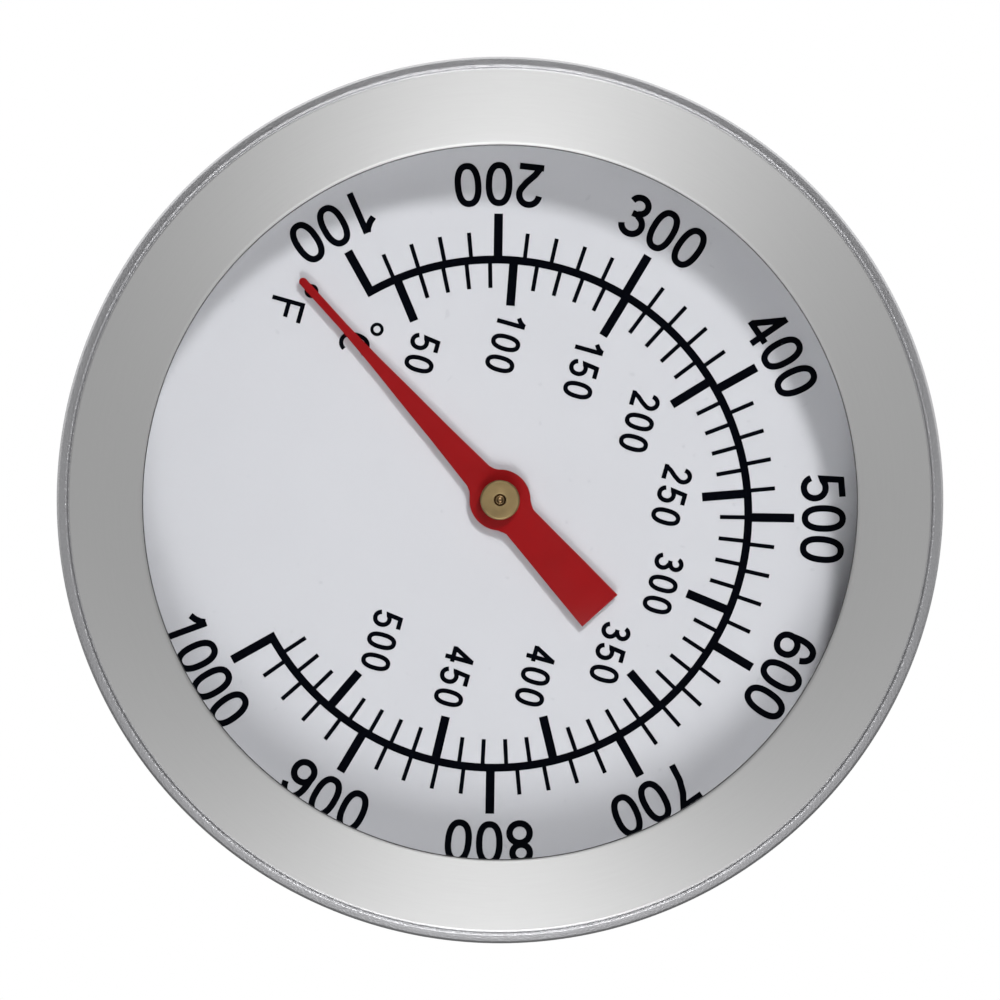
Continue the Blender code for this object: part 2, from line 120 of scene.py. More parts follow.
# ---------------------------------------------------------------- shader helpers
def node(tree, kind, settings=None, **inputs):
    """Add a shader node; an input given as a socket is linked and any other value is set."""
    made = tree.nodes.new(kind)
    for name, value in (settings or {}).items():
        setattr(made, name, value)
    for name, value in inputs.items():
        key = int(name[1:]) if name[0] == "_" and name[1:].isdigit() else name.replace("_", " ")
        if isinstance(value, bpy.types.NodeSocket):
            tree.links.new(value, made.inputs[key])
        else:
            made.inputs[key].default_value = value
    return made


def material(name):
    """An empty material with a Principled shader; returns it with its tree and shader."""
    made = bpy.data.materials.new(name)
    made.use_nodes = True
    tree = made.node_tree
    return made, tree, tree.nodes["Principled BSDF"]


def maths(tree, operation, first, second=0.0):
    """The output of a Math node."""
    return node(tree, "ShaderNodeMath", {"operation": operation}, _0=first, _1=second).outputs[0]


def noise(tree, vector, scale, detail=2.0, roughness=0.5):
    """The value output of a Noise texture."""
    settings = {"Vector": vector, "Scale": scale, "Detail": detail, "Roughness": roughness}
    return node(tree, "ShaderNodeTexNoise", None, **settings).outputs["Fac"]


def mapped(tree, value, low, high, to_low=0.0, to_high=1.0):
    """Map a value from one range to another, clamped."""
    made = node(tree, "ShaderNodeMapRange", None, Value=value)
    made.inputs["From Min"].default_value = low
    made.inputs["From Max"].default_value = high
    made.inputs["To Min"].default_value = to_low
    made.inputs["To Max"].default_value = to_high
    return made.outputs["Result"]


def blend(tree, factor, first, second):
    """Mix two colours."""
    made = node(tree, "ShaderNodeMix", {"data_type": "RGBA"}, _0=factor)
    for index, value in ((6, first), (7, second)):
        if isinstance(value, bpy.types.NodeSocket):
            tree.links.new(value, made.inputs[index])
        else:
            made.inputs[index].default_value = (*value, 1.0)
    return made.outputs[2]


def grey(level):
    """A colour with the same red, green and blue."""
    return level, level, level


def bump(tree, shader, height, distance):
    """Roughen a shader's normals by a height times a distance in metres."""
    made = node(tree, "ShaderNodeBump", None, Height=height, Distance=distance)
    tree.links.new(made.outputs[0], shader.inputs["Normal"])


def here(tree):
    """Object coordinates, which are the row frame's metres."""
    return node(tree, "ShaderNodeTexCoord").outputs["Object"]


def polar(tree, along=1.0, across=1.0):
    """(direction round the Y axis, radius) as a vector, so that noise in it runs round the axis in rings."""
    parts = node(tree, "ShaderNodeSeparateXYZ", None, Vector=here(tree)).outputs
    flat = node(tree, "ShaderNodeCombineXYZ", None, X=parts[0], Z=parts[2]).outputs[0]
    radius = node(tree, "ShaderNodeVectorMath", {"operation": "LENGTH"}, _0=flat).outputs["Value"]
    way = node(tree, "ShaderNodeVectorMath", {"operation": "NORMALIZE"}, _0=flat).outputs[0]
    way = node(tree, "ShaderNodeVectorMath", {"operation": "SCALE"}, _0=way, Scale=along).outputs[0]
    way_parts = node(tree, "ShaderNodeSeparateXYZ", None, Vector=way).outputs
    depth = maths(tree, "ADD", maths(tree, "MULTIPLY", radius, across),
                  maths(tree, "MULTIPLY", parts[1], across))
    vector = node(tree, "ShaderNodeCombineXYZ", None, X=way_parts[0], Y=way_parts[2], Z=depth).outputs[0]
    return vector, radius


# ---------------------------------------------------------------- materials
def steel(name, colour, rough, lines, line_depth, anisotropic=0.0):
    """Stainless steel with fine lines turned round the axis; colour and roughness vary a little."""
    made, tree, shader = material(name)
    rings, _ = polar(tree, along=1.2, across=1.0 / MM)
    fine = noise(tree, rings, lines, detail=3.0, roughness=0.6)
    cloud = noise(tree, here(tree), 90.0, detail=3.0)
    shade = blend(tree, mapped(tree, cloud, 0.3, 0.7), [c * 0.95 for c in colour], colour)
    tree.links.new(shade, shader.inputs["Base Color"])
    tree.links.new(mapped(tree, fine, 0.3, 0.7, rough * 0.88, rough * 1.12), shader.inputs["Roughness"])
    shader.inputs["Metallic"].default_value = 1.0
    shader.inputs["Anisotropic"].default_value = anisotropic
    if anisotropic > 0.0:
        tangent = node(tree, "ShaderNodeTangent", {"direction_type": "RADIAL", "axis": "Y"})
        tree.links.new(tangent.outputs[0], shader.inputs["Tangent"])
    bump(tree, shader, fine, line_depth)
    return made


def bezel_steel():
    """Satin steel brushed round the ring, with a painted shade line on the inner wall of its lip and a
    grainy rolled bead.
    """
    made, tree, shader = material("bezel_satin_steel")
    bead_start, bead_full = (FACE_EDGE + 0.02) * MM, (FACE_EDGE + 0.12) * MM
    lip_shade_start, lip_shade_full = (BEZEL_FACE + 0.13) * MM, (BEZEL_FACE + 0.17) * MM
    inner, outer = (WINDOW_RADIUS + 0.85) * MM, (WINDOW_RADIUS + 1.85) * MM
    line_height, speck_height = 0.0000012, 0.00006
    least_rough, most_rough, bead_smoother = 0.54, 0.58, 0.26
    rings, radius = polar(tree, along=1.0, across=1.0 / MM)
    fine = noise(tree, rings, 9.0, detail=4.0, roughness=0.65)
    cloud = noise(tree, here(tree), 60.0, detail=2.0)
    bead = mapped(tree, radius, bead_start, bead_full)
    grain = noise(tree, here(tree), 5200.0, detail=3.0, roughness=0.7)
    shade = blend(tree, mapped(tree, cloud, 0.3, 0.7), grey(0.382), grey(0.390))
    shade = blend(tree, bead, shade, (0.30, 0.30, 0.31))
    deep = node(tree, "ShaderNodeSeparateXYZ", None, Vector=here(tree)).outputs[1]
    # painted shade: the lip's inner wall, where it meets the lens, is made near-black
    lip = maths(tree, "MULTIPLY", mapped(tree, radius, inner, outer, 1.0, 0.0),
                mapped(tree, deep, lip_shade_start, lip_shade_full))
    shade = blend(tree, lip, shade, grey(0.06))
    tree.links.new(shade, shader.inputs["Base Color"])
    rough = mapped(tree, fine, 0.3, 0.7, least_rough, most_rough)
    rough = maths(tree, "SUBTRACT", rough, maths(tree, "MULTIPLY", bead, bead_smoother))
    tree.links.new(rough, shader.inputs["Roughness"])
    shader.inputs["Metallic"].default_value = 1.0
    shader.inputs["Anisotropic"].default_value = 0.62
    shader.inputs["Anisotropic Rotation"].default_value = 0.25
    tangent = node(tree, "ShaderNodeTangent", {"direction_type": "RADIAL", "axis": "Y"})
    tree.links.new(tangent.outputs[0], shader.inputs["Tangent"])
    lines = maths(tree, "MULTIPLY", fine, line_height)
    specks = maths(tree, "MULTIPLY", maths(tree, "MULTIPLY", grain, bead), speck_height)
    bump(tree, shader, maths(tree, "ADD", lines, specks), 1.0)
    return made


def glass():
    """Clear flat glass: light goes straight through, and both faces reflect a little."""
    made, tree, _ = material("lens_clear_glass")
    tree.nodes.clear()
    smears = noise(tree, here(tree), 220.0, detail=4.0, roughness=0.7)
    through = node(tree, "ShaderNodeBsdfTransparent", None, Color=(0.985, 0.99, 0.99, 1.0))
    shine = node(tree, "ShaderNodeBsdfAnisotropic", None, Color=(1.0, 1.0, 1.0, 1.0))
    tree.links.new(mapped(tree, smears, 0.35, 0.75, 0.01, 0.06), shine.inputs["Roughness"])
    edge = node(tree, "ShaderNodeFresnel", None, IOR=1.45).outputs[0]
    leaving = node(tree, "ShaderNodeNewGeometry").outputs["Backfacing"]
    edge = maths(tree, "MULTIPLY", edge, maths(tree, "SUBTRACT", 1.0, leaving))
    mixed = node(tree, "ShaderNodeMixShader", None, Fac=edge)
    tree.links.new(through.outputs[0], mixed.inputs[1])
    tree.links.new(shine.outputs[0], mixed.inputs[2])
    out = node(tree, "ShaderNodeOutputMaterial")
    tree.links.new(mixed.outputs[0], out.inputs[0])
    return made


def dial_lacquer():
    """Silver-white satin lacquer with a fine grain, faint rolling lines and a few specks."""
    made, tree, shader = material("dial_silver_lacquer")
    place = here(tree)
    grain = noise(tree, place, 9000.0, detail=2.0, roughness=0.6)
    cloud = noise(tree, place, 130.0, detail=3.0)
    stretched = node(tree, "ShaderNodeMapping", None, Vector=place, Scale=(2.0, 1.0, 0.06)).outputs[0]
    rolled = noise(tree, stretched, 2600.0, detail=2.0)
    speck = noise(tree, place, 2100.0, detail=0.0)
    shade = blend(tree, mapped(tree, cloud, 0.3, 0.7), (0.70, 0.695, 0.735), (0.715, 0.71, 0.75))
    shade = blend(tree, mapped(tree, rolled, 0.35, 0.65, 0.0, 0.10), shade, (0.64, 0.64, 0.68))
    shade = blend(tree, mapped(tree, speck, 0.84, 0.86, 0.0, 0.25), shade, (0.50, 0.50, 0.54))
    tree.links.new(shade, shader.inputs["Base Color"])
    tree.links.new(mapped(tree, grain, 0.3, 0.7, 0.42, 0.55), shader.inputs["Roughness"])
    bump(tree, shader, grain, 0.000004)
    return made


def ink():
    """Black screen-printing ink, with a few pinholes where it is worn."""
    made, tree, shader = material("dial_ink")
    place = here(tree)
    gaps = noise(tree, place, 4200.0, detail=1.0)
    worn = noise(tree, place, 240.0, detail=2.0)
    lost = maths(tree, "MULTIPLY", mapped(tree, gaps, 0.80, 0.85), mapped(tree, worn, 0.55, 0.65))
    shade = blend(tree, lost, (0.0015, 0.002, 0.004), (0.35, 0.35, 0.38))
    tree.links.new(shade, shader.inputs["Base Color"])
    tree.links.new(mapped(tree, gaps, 0.3, 0.7, 0.5, 0.65), shader.inputs["Roughness"])
    shader.inputs["Specular IOR Level"].default_value = 0.0
    bump(tree, shader, gaps, 0.000004)
    return made


def red_paint():
    """Dark red enamel with a faint orange peel."""
    made, tree, shader = material("pointer_red_paint")
    place = here(tree)
    peel = noise(tree, place, 2400.0, detail=2.0)
    cloud = noise(tree, place, 300.0, detail=2.0)
    shade = blend(tree, mapped(tree, cloud, 0.3, 0.7), (0.28, 0.0015, 0.003), (0.31, 0.002, 0.004))
    tree.links.new(shade, shader.inputs["Base Color"])
    tree.links.new(mapped(tree, peel, 0.3, 0.7, 0.38, 0.5), shader.inputs["Roughness"])
    shader.inputs["Specular IOR Level"].default_value = 0.15
    bump(tree, shader, peel, 0.000006)
    return made


def brass(name, colour, rough):
    """Turned brass, dulled in patches."""
    made, tree, shader = material(name)
    rings, _ = polar(tree, along=1.0, across=1.0 / MM)
    fine = noise(tree, rings, 12.0, detail=3.0)
    cloud = noise(tree, here(tree), 1500.0, detail=3.0)
    shade = blend(tree, mapped(tree, cloud, 0.35, 0.65), [c * 0.82 for c in colour], colour)
    tree.links.new(shade, shader.inputs["Base Color"])
    tree.links.new(mapped(tree, cloud, 0.3, 0.7, rough * 0.85, rough * 1.2), shader.inputs["Roughness"])
    shader.inputs["Metallic"].default_value = 1.0
    bump(tree, shader, fine, 0.000003)
    return made


def rubber():
    """Matt black silicone."""
    made, tree, shader = material("black_silicone")
    grain = noise(tree, here(tree), 3000.0, detail=3.0)
    shade = blend(tree, mapped(tree, grain, 0.3, 0.7), (0.018, 0.018, 0.019), (0.035, 0.035, 0.036))
    tree.links.new(shade, shader.inputs["Base Color"])
    tree.links.new(mapped(tree, grain, 0.3, 0.7, 0.6, 0.8), shader.inputs["Roughness"])
    bump(tree, shader, grain, 0.00001)
    return made


def zinc():
    """Bright zinc plate with a faint blue cast, slightly mottled."""
    made, tree, shader = material("bright_zinc")
    place = here(tree)
    cells = node(tree, "ShaderNodeTexVoronoi", None, Vector=place, Scale=900.0).outputs["Distance"]
    cloud = noise(tree, place, 260.0, detail=4.0, roughness=0.6)
    shade = blend(tree, mapped(tree, cloud, 0.3, 0.7), (0.56, 0.57, 0.59), (0.68, 0.69, 0.70))
    tree.links.new(shade, shader.inputs["Base Color"])
    tree.links.new(mapped(tree, cloud, 0.3, 0.7, 0.26, 0.42), shader.inputs["Roughness"])
    shader.inputs["Metallic"].default_value = 1.0
    bump(tree, shader, maths(tree, "ADD", cells, cloud), 0.000012)
    return made


# ---------------------------------------------------------------- mesh helpers
def at_angle(radius, y, angle):
    """A point on the circle of this radius round the Y axis, turned right-handed about +Y from +X."""
    return (radius * math.cos(angle) * MM, y * MM, -radius * math.sin(angle) * MM)


def circle(bm, radius, y, steps):
    """A ring of vertices round the Y axis."""
    return [bm.verts.new(at_angle(radius, y, TURN * i / steps)) for i in range(steps)]


def skin(bm, first, second):
    """Quads between two rings that have the same number of vertices."""
    count = len(first)
    for i in range(count):
        j = (i + 1) % count
        bm.faces.new((first[i], first[j], second[j], second[i]))


def meshed(name, bm):
    """An object from a closed bmesh, with its faces pointing out."""
    bmesh.ops.recalc_face_normals(bm, faces=bm.faces)
    mesh = bpy.data.meshes.new(name)
    bm.to_mesh(mesh)
    bm.free()
    made = bpy.data.objects.new(name, mesh)
    bpy.context.scene.collection.objects.link(made)
    return made


def piece(name, bm, finish, body, nodes=(), sharp_deg=38.0):
    """A finished object, which rides on a body and may stand for CAD nodes."""
    made = meshed(name, bm)
    made.data.materials.append(finish)
    made.data.shade_smooth()
    made.data.set_sharp_from_angle(angle=math.radians(sharp_deg))
    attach(made, body)
    if nodes:
        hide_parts(*nodes)
    return made


def rounded(corners, steps=5):
    """A closed outline through (r, y, fillet radius) corners, with each corner turned into an arc."""
    outline = []
    count = len(corners)
    for i, (r, y, fillet) in enumerate(corners):
        if fillet <= 0.0:
            outline.append((r, y))
            continue
        here_at = Vector((r, y))
        before = (Vector(corners[i - 1][:2]) - here_at).normalized()
        after = (Vector(corners[(i + 1) % count][:2]) - here_at).normalized()
        half = before.angle(after) / 2.0
        reach = fillet / math.tan(half)
        centre = here_at + (before + after).normalized() * (fillet / math.sin(half))
        start = here_at + before * reach - centre
        stop = here_at + after * reach - centre
        sweep = start.angle_signed(stop)
        for step in range(steps + 1):
            angle = -sweep * step / steps
            turned_to = Vector((
                start.x * math.cos(angle) - start.y * math.sin(angle),
                start.x * math.sin(angle) + start.y * math.cos(angle),
            ))
            outline.append(tuple(centre + turned_to))
    return outline


def turned_mesh(bm, outline, steps):
    """Turn a closed (radius, y) outline about the Y axis; points on the axis become single vertices."""
    rings = []
    for radius, y in outline:
        if radius <= 0.0:
            rings.append([bm.verts.new((0.0, y * MM, 0.0))])
        else:
            rings.append(circle(bm, radius, y, steps))
    for first, second in zip(rings, rings[1:] + rings[:1]):
        if len(first) == 1 and len(second) == 1:
            continue
        if len(first) > 1 and len(second) > 1:
            skin(bm, first, second)
            continue
        point, ring = (first[0], second) if len(first) == 1 else (second[0], first)
        for i in range(steps):
            bm.faces.new((point, ring[i], ring[(i + 1) % steps]))


def turned(name, outline, finish, body, nodes=(), steps=192, sharp_deg=38.0):
    """A turned piece."""
    bm = bmesh.new()
    turned_mesh(bm, outline, steps)
    return piece(name, bm, finish, body, nodes, sharp_deg)


# ---------------------------------------------------------------- bezel, case and lens
def make_bezel(finish):
    """Pressed ring with a soft inner lip, a flat face, a groove, a rolled bead and a crimped edge."""
    inside = BEZEL_RADIUS - SHEET
    lip_end = BEZEL_FACE + 1.2
    under = BEZEL_FACE + SHEET
    crimp = BEZEL_RADIUS - 2.6
    offset, fade_radius, fade_width = 0.16, 27.5, 2.5
    outline = rounded([
        (WINDOW_RADIUS + 0.3, lip_end, 0.12),
        (WINDOW_RADIUS, lip_end, 0.12),
        (WINDOW_RADIUS, BEZEL_FACE, 0.3),
        (FACE_EDGE, BEZEL_FACE, 0.06),
        (FACE_EDGE + 0.12, BEZEL_FACE + 0.10, 0.03),
        (FACE_EDGE + 0.29, BEZEL_FRONT - 0.02, 0.12),
        (FACE_EDGE + 0.77, BEZEL_FRONT + 0.55, 0.25),
        (BEZEL_RADIUS, BEZEL_FRONT + 1.05, 0.3),
        (BEZEL_RADIUS, BEZEL_BACK, 0.5),
        (crimp, BEZEL_BACK, 0.2),
        (crimp, BEZEL_BACK - SHEET + 0.05, 0.2),
        (inside, BEZEL_BACK - SHEET, 0.0),
        (inside, under, 0.0),
        (WINDOW_RADIUS + SHEET, under, 0.0),
    ])
    made = turned("bezel", outline, finish, "case", ["bezel_ring"], steps=320)
    # the opening was pressed a little off centre, downwards in the view
    aside = (in_view(0.0, -1.0, 0.0) - in_view(0.0, 0.0, 0.0)) * offset * MM
    for vertex in made.data.vertices:
        reach = math.hypot(vertex.co.x, vertex.co.z) / MM
        vertex.co += aside * min(1.0, max(0.0, (fade_radius - reach) / fade_width))
    return made


def make_case(finish):
    """Drawn cup with soft bends: flange, mouth, ledge, well and flat floor."""
    flange, mouth, well, sheet = CASE_RADIUS, 25.6, 23.0, 0.5
    ledge = DIAL_BACK + 0.3
    hole = 5.3
    outline = rounded([
        (flange, CASE_FRONT, 0.1),
        (flange, CASE_FRONT + sheet, 0.1),
        (mouth + sheet, CASE_FRONT + sheet, 0.3),
        (mouth + sheet, ledge + sheet, 0.6),
        (well + sheet, ledge + sheet, 0.3),
        (well + sheet, CASE_BACK, 1.5),
        (hole, CASE_BACK, 0.08),
        (hole, CASE_BACK - sheet, 0.08),
        (well, CASE_BACK - sheet, 1.0),
        (well, ledge, 0.2),
        (mouth, ledge, 0.1),
        (mouth, CASE_FRONT, 0.3),
    ])
    return turned("case_cup", outline, finish, "case", ["case_back"], steps=256)


def make_lens(finish):
    """Flat disc with ground edges; a ring outside the window keeps the shading flat across it."""
    flat = LENS_RADIUS - 1.5
    outline = rounded([
        (0.0, LENS_FRONT, 0.0),
        (flat, LENS_FRONT, 0.0),
        (LENS_RADIUS, LENS_FRONT, 0.25),
        (LENS_RADIUS, LENS_BACK, 0.25),
        (flat, LENS_BACK, 0.0),
        (0.0, LENS_BACK, 0.0),
    ])
    return turned("lens_glass", outline, finish, "case", ["lens"], steps=256)


def make_dial(finish):
    """Thin stamped disc with a hole for the hub and slightly rolled edges."""
    hole = 1.6
    outline = rounded([
        (hole, DIAL_FRONT, 0.12),
        (DIAL_RADIUS, DIAL_FRONT, 0.15),
        (DIAL_RADIUS, DIAL_BACK, 0.05),
        (hole, DIAL_BACK, 0.05),
    ])
    return turned("dial_disc", outline, finish, "case", ["dial_plate"], steps=256)


def make_spacer(finish):
    """Thin rolled ring that holds the dial against its ledge."""
    front, back, outer = span("spacer_ring")
    inner = outer - 0.4
    outline = rounded([
        (inner, front, 0.08),
        (outer, front, 0.08),
        (outer, back, 0.08),
        (inner, back, 0.08),
    ])
    return turned("dial_spacer", outline, finish, "case", ["spacer_ring"], steps=256)


# ---------------------------------------------------------------- print on the dial
# The print stands a little off the gauge's axis. Distances run right and up on the dial from its centre,
# and angles run clockwise from upright.
PRINT_CENTRE = (1.0, -0.13)
PRINT_THICKNESS = 0.02
PRINT_GAP = 0.001  # between the print and the dial
SCALE_START_DEG = -134.8  # 100 degrees Fahrenheit
SCALE_RADIUS = 17.29
SCALE_STROKE = 0.54
DEG_PER_F = 0.3
DIGIT_WIDTH = 0.57  # of a digit's height


def print_place(radius, angle_deg):
    """Where a point at this distance and clockwise angle lies on the print."""
    angle = math.radians(angle_deg)
    return radius * math.sin(angle), radius * math.cos(angle)


def fahrenheit_deg(value):
    """The angle of a Fahrenheit reading on the scale."""
    return SCALE_START_DEG + DEG_PER_F * (value - 100.0)


def celsius_deg(value):
    """The angle of a Celsius reading on the same scale."""
    return fahrenheit_deg(value * 1.8 + 32.0)


def ribbon(points, width, closed=False):
    """Quads along a line through (right, up) points, with mitred corners."""
    path = [Vector(point) for point in points]
    count = len(path)
    sides = []
    for i, point in enumerate(path):
        before = point - path[i - 1] if i or closed else path[1] - point
        after = path[(i + 1) % count] - point if i < count - 1 or closed else before
        before, after = before.normalized(), after.normalized()
        along = (before + after).normalized()
        reach = width / 2.0 / max(along.dot(before), 0.5)
        across = Vector((-along.y, along.x)) * reach
        sides.append((point + across, point - across))
    quads = []
    for i in range(count if closed else count - 1):
        (left, right), (next_left, next_right) = sides[i], sides[(i + 1) % count]
        quads.append((left, right, next_right, next_left))
    return quads


def bow(centre, wide, tall, start_deg, end_deg, fullness=2.0, steps=18):
    """Points on an oval from one angle to another, from 0 at its right and 90 at its top.

    A fullness of 2 is an ellipse, and more squares it off.
    """
    points = []
    for i in range(steps + 1):
        angle = math.radians(start_deg + (end_deg - start_deg) * i / steps)
        cosine, sine = math.cos(angle), math.sin(angle)
        x = math.copysign(abs(cosine) ** (2.0 / fullness), cosine) * wide
        y = math.copysign(abs(sine) ** (2.0 / fullness), sine) * tall
        points.append((centre[0] + x, centre[1] + y))
    return points


def oval(centre, wide, tall):
    """Points all the way round an oval."""
    return bow(centre, wide, tall, 0.0, 345.0, 2.0, 23)


def glyph_lines(sign):
    """The centre lines of a sign one unit tall, as (points, closed) pairs."""
    middle = DIGIT_WIDTH / 2.0
    if sign == "0":
        return [(bow((middle, 0.5), 0.22, 0.435, 0.0, 350.0, 2.35, 35), True)]
    if sign == "1":
        flag = [(0.09, 0.715), (0.20, 0.79), (0.29, 0.89), (0.335, 0.985)]
        return [([(0.36, 0.0), (0.36, 1.0)], False), (flag, False)]
    if sign == "2":
        neck = bow((middle, 0.70), 0.215, 0.235, 176.0, -28.0) + [(0.36, 0.42), (0.20, 0.24), (0.10, 0.07)]
        return [(neck, False), ([(0.02, 0.065), (0.55, 0.065)], False)]
    if sign == "3":
        upper = bow((0.272, 0.745), 0.19, 0.19, 165.0, -80.0)
        lower = bow((0.278, 0.29), 0.225, 0.225, 80.0, -165.0)
        return [(upper, False), (lower, False), ([(0.19, 0.535), (0.32, 0.535)], False)]
    if sign == "4":
        return [
            ([(0.41, 0.0), (0.41, 1.0)], False),
            ([(0.0, 0.275), (0.57, 0.275)], False),
            ([(0.055, 0.275), (0.40, 0.93)], False),
        ]
    if sign == "5":
        bowl = bow((0.28, 0.315), 0.225, 0.25, 142.0, -165.0, 2.1, 24)
        return [([(0.52, 0.935), (0.15, 0.935), (0.095, 0.50)] + bowl[1:], False)]
    if sign in "69":
        lines = [
            (bow((0.29, 0.30), 0.215, 0.235, 0.0, 345.0, 2.1, 23), True),
            (bow((0.30, 0.5), 0.225, 0.435, 205.0, 25.0, 2.3, 22), False),
        ]
        if sign == "6":
            return lines
        return [([(DIGIT_WIDTH - x, 1.0 - y) for x, y in points], closed) for points, closed in lines]
    if sign == "7":
        return [([(0.03, 0.935), (0.505, 0.935), (0.35, 0.68), (0.25, 0.38), (0.205, 0.0)], False)]
    if sign == "8":
        return [(oval((middle, 0.745), 0.19, 0.19), True), (oval((middle, 0.29), 0.22, 0.225), True)]
    if sign == "C":
        return [(bow((0.36, 0.5), 0.30, 0.435, 38.0, 322.0, 2.2, 30), False)]
    return [  # F
        ([(0.065, 0.0), (0.065, 1.0)], False),
        ([(0.065, 0.935), (0.62, 0.935)], False),
        ([(0.065, 0.515), (0.54, 0.515)], False),
    ]


def sign_quads(sign, place, height, stroke, turn_deg=0.0, aspect=1.0):
    """A sign's quads, centred on a place on the print and turned clockwise about it."""
    turn = math.radians(-turn_deg)
    cosine, sine = math.cos(turn), math.sin(turn)
    quads = []
    for points, closed in glyph_lines(sign):
        line = []
        for x, y in points:
            x, y = (x - DIGIT_WIDTH / 2.0) * height * aspect, (y - 0.5) * height
            line.append((place[0] + x * cosine - y * sine, place[1] + x * sine + y * cosine))
        quads += ribbon(line, stroke, closed)
    return quads


def printed(name, quads, finish):
    """Thin closed prints on the dial, with quads that overlap joined into one shape."""
    least_area, tolerance = 0.00001, 0.0005
    flat = []
    for a, b, c, d in quads:
        for corners in ((a, b, c), (a, c, d)):
            area = (corners[1] - corners[0]).cross(corners[2] - corners[0]) / 2.0
            if abs(area) > least_area:
                flat += corners if area > 0.0 else corners[::-1]
    faces = [(i, i + 1, i + 2) for i in range(0, len(flat), 3)]
    points, _, triangles, _, _, sources = delaunay_2d_cdt(flat, [], faces, 1, tolerance)
    kept = [triangle for triangle, source in zip(triangles, sources) if source]
    bm = bmesh.new()
    layers = []
    right, up = PRINT_CENTRE
    for y in (DIAL_FRONT - PRINT_THICKNESS, DIAL_FRONT - PRINT_GAP):
        layers.append([bm.verts.new(((p.x + right) * MM, y * MM, (p.y + up) * MM)) for p in points])
    front, back = layers
    sides = {}
    for triangle in kept:
        bm.faces.new([front[i] for i in triangle])
        bm.faces.new([back[i] for i in reversed(triangle)])
        for first, second in zip(triangle, triangle[1:] + triangle[:1]):
            sides[(first, second)] = True
    for first, second in sides:
        if (second, first) not in sides:
            bm.faces.new((front[first], back[first], back[second], front[second]))
    bmesh.ops.delete(bm, geom=[v for v in bm.verts if not v.link_faces], context="VERTS")
    return piece(name, bm, finish, "case")


def scale_quads():
    """The arc with its Fahrenheit ticks outside and its Celsius ticks inside."""
    major, minor = 0.6, 0.28
    fahrenheit_major, fahrenheit_minor = 20.42, 19.19
    celsius_major, celsius_minor = 14.19, 15.36
    end_deg = fahrenheit_deg(1000.0)
    spare_deg = math.degrees(major / 2.0 / SCALE_RADIUS)
    count = 180
    arc_points = []
    for i in range(count + 1):
        share = i / count
        angle = SCALE_START_DEG - spare_deg + (end_deg - SCALE_START_DEG + 2.0 * spare_deg) * share
        arc_points.append(print_place(SCALE_RADIUS, angle))
    quads = ribbon(arc_points, SCALE_STROKE)
    inner, outer = SCALE_RADIUS - SCALE_STROKE / 2.0, SCALE_RADIUS + SCALE_STROKE / 2.0
    for value in range(100, 1001, 20):
        angle = fahrenheit_deg(value)
        reach, width = (fahrenheit_major, major) if value % 100 == 0 else (fahrenheit_minor, minor)
        quads += ribbon([print_place(inner, angle), print_place(reach, angle)], width)
    for value in range(50, 531, 10):
        angle = celsius_deg(value)
        reach, width = (celsius_major, major) if value % 50 == 0 else (celsius_minor, minor)
        quads += ribbon([print_place(outer, angle), print_place(reach, angle)], width)
    return quads


def fahrenheit_quads():
    """Numerals round the scale; 300 to 800 have their tops outwards, and the others theirs inwards."""
    height, stroke, aspect = 2.96, 0.44, 1.06
    radius, pitch_deg = 22.43, 5.4
    nudged_deg = {600: -1.4, 1000: 0.9}
    quads = []
    for value in range(100, 1001, 100):
        digits = str(value)
        outward = 300 <= value <= 800
        for i, digit in enumerate(digits):
            step = (i - (len(digits) - 1) / 2.0) * pitch_deg
            angle = fahrenheit_deg(value) + nudged_deg.get(value, 0.0) + (step if outward else -step)
            turn = angle if outward else angle + 180.0
            quads += sign_quads(digit, print_place(radius, angle), height, stroke, turn, aspect)
    return quads


def celsius_quads():
    """Upright numerals inside the scale."""
    height, stroke, aspect, pitch = 1.97, 0.31, 0.97, 1.48
    places = {
        50: (-9.16, -7.67),
        100: (-11.40, -2.38),
        150: (-11.11, 3.21),
        200: (-8.67, 7.83),
        250: (-4.44, 11.30),
        300: (1.51, 12.36),
        350: (7.01, 10.15),
        400: (9.90, 5.69),
        450: (11.42, 0.39),
        500: (10.40, -5.04),
    }
    quads = []
    for value, (right, up) in places.items():
        digits = str(value)
        for i, digit in enumerate(digits):
            place = (right + (i - (len(digits) - 1) / 2.0) * pitch, up)
            quads += sign_quads(digit, place, height, stroke, aspect=aspect)
    return quads


def unit_quads():
    """The two units: a degree ring with a C, and another with an F."""
    ring_stroke = 0.22
    quads = []
    for letter, place, height, stroke, ring_place, ring_radius in (
        ("C", (-8.72, -12.28), 2.1, 0.29, (-9.92, -11.06), 0.35),
        ("F", (-9.64, -17.36), 2.3, 0.3, (-11.23, -16.06), 0.37),
    ):
        quads += sign_quads(letter, place, height, stroke)
        quads += ribbon(oval(ring_place, ring_radius, ring_radius), ring_stroke, True)
    return quads


# ---------------------------------------------------------------- pointer, hub and spindle
def pointer_half_width(distance):
    """Half the pointer's width at a distance from the hub towards its tip, or below 0 towards its tail."""
    taper_end = 15.9
    blade = ((2.2, 1.02), (6.1, 0.76), (9.4, 0.59), (12.6, 0.40), (taper_end, POINTER_TIP),
             (POINTER_REACH, POINTER_TIP))
    tail = ((2.2, 1.25), (4.2, 1.34), (6.9, 1.48), (POINTER_TAIL, 1.62))
    reach = abs(distance)
    widths = blade if distance > 0.0 else tail
    wide = widths[0][1]
    for (near, first), (far, second) in zip(widths, widths[1:]):
        if reach > near:
            wide = first + (second - first) * min((reach - near) / (far - near), 1.0)
    boss = math.sqrt(max(POINTER_BOSS ** 2 - reach ** 2, 0.0))
    softness = 0.32
    lift = max(softness - abs(boss - wide), 0.0) / softness
    return max(boss, wide) + lift ** 3 * softness / 6.0


